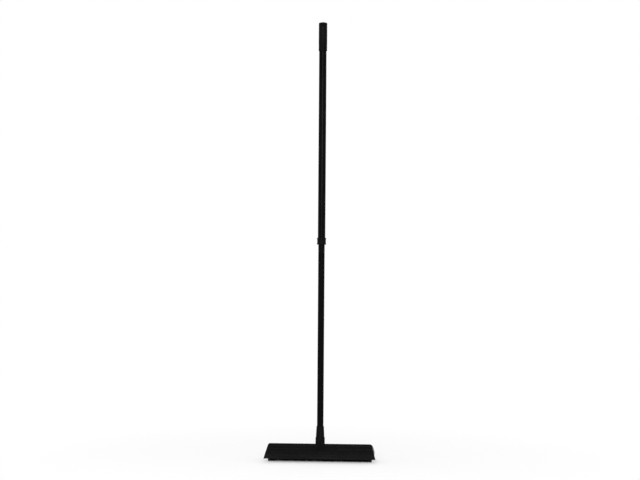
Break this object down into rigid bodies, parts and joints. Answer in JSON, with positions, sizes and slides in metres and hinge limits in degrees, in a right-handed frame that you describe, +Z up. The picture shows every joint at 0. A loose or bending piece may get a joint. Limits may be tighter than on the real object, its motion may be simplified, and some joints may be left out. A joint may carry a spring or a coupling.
{
  "type": "snow brush scraper",
  "caption": "Push brush for snow: wide head with rubber pins and a scraper blade, on a two-section telescopic pole with a twist lock, a grip and a blind hanging hole.",
  "frame": {"origin": "on the floor, under the axis of the pole, in the middle of the head's box", "axes": "+Z up along the pole, +X along the width of the head, -Y towards the scraper blade"},
  "size_m": [0.328, 0.088, 1.295],
  "materials": {
    "head_plastic": "satin black moulding with a fine grain",
    "bristle_rubber": "dull black rubber",
    "blade_rubber": "smooth black rubber",
    "tube_coating": "semi-gloss black coating on steel tube",
    "fitting_plastic": "satin black moulding",
    "grip_rubber": "matt black soft moulding",
    "lock_nylon": "natural nylon",
    "zinc_steel": "zinc plated",
    "black_steel": "black oxide"
  },
  "bodies": {
    "lower_pole": {"head_frame": "head_plastic", "bristle_pad": "bristle_rubber", "scraper_blade": "blade_rubber", "blade_clamp": "head_plastic", "clamp_screws": "zinc_steel", "ferrule": "fitting_plastic", "ferrule_rivet": "black_steel", "lower_tube": "tube_coating", "lock_plug": "lock_nylon", "plug_pin": "zinc_steel", "lock_stud": "zinc_steel", "lock_nut": "zinc_steel"},
    "lock_sleeve": {"lock_sleeve": "lock_nylon"},
    "lock_cone": {"lock_cone": "lock_nylon"},
    "upper_pole": {"upper_tube": "tube_coating", "guide_bush": "lock_nylon", "lock_collar": "fitting_plastic", "collar_rivets": "black_steel", "grip": "grip_rubber", "hanger_cap": "fitting_plastic", "grip_screw": "black_steel"}
  },
  "joints": [
    {"name": "twist_lock", "type": "hinge", "parent": "lower_pole", "child": "lock_sleeve", "pos_m": [0, 0, 0.7094], "axis": [0, 0, 1], "range_deg": [0, 180]},
    {"name": "cone_feed", "type": "slide", "parent": "lock_sleeve", "child": "lock_cone", "axis": [0, 0, 1], "range_m": [0, 0.0021]},
    {"name": "pole_slide", "type": "slide", "parent": "lock_sleeve", "child": "upper_pole", "axis": [0, 0, 1], "range_m": [-0.49, 0]}
  ],
  "couplings": [
    {"joint": "cone_feed", "follows": "twist_lock", "m_per_rad": 0.00063662}
  ]
}
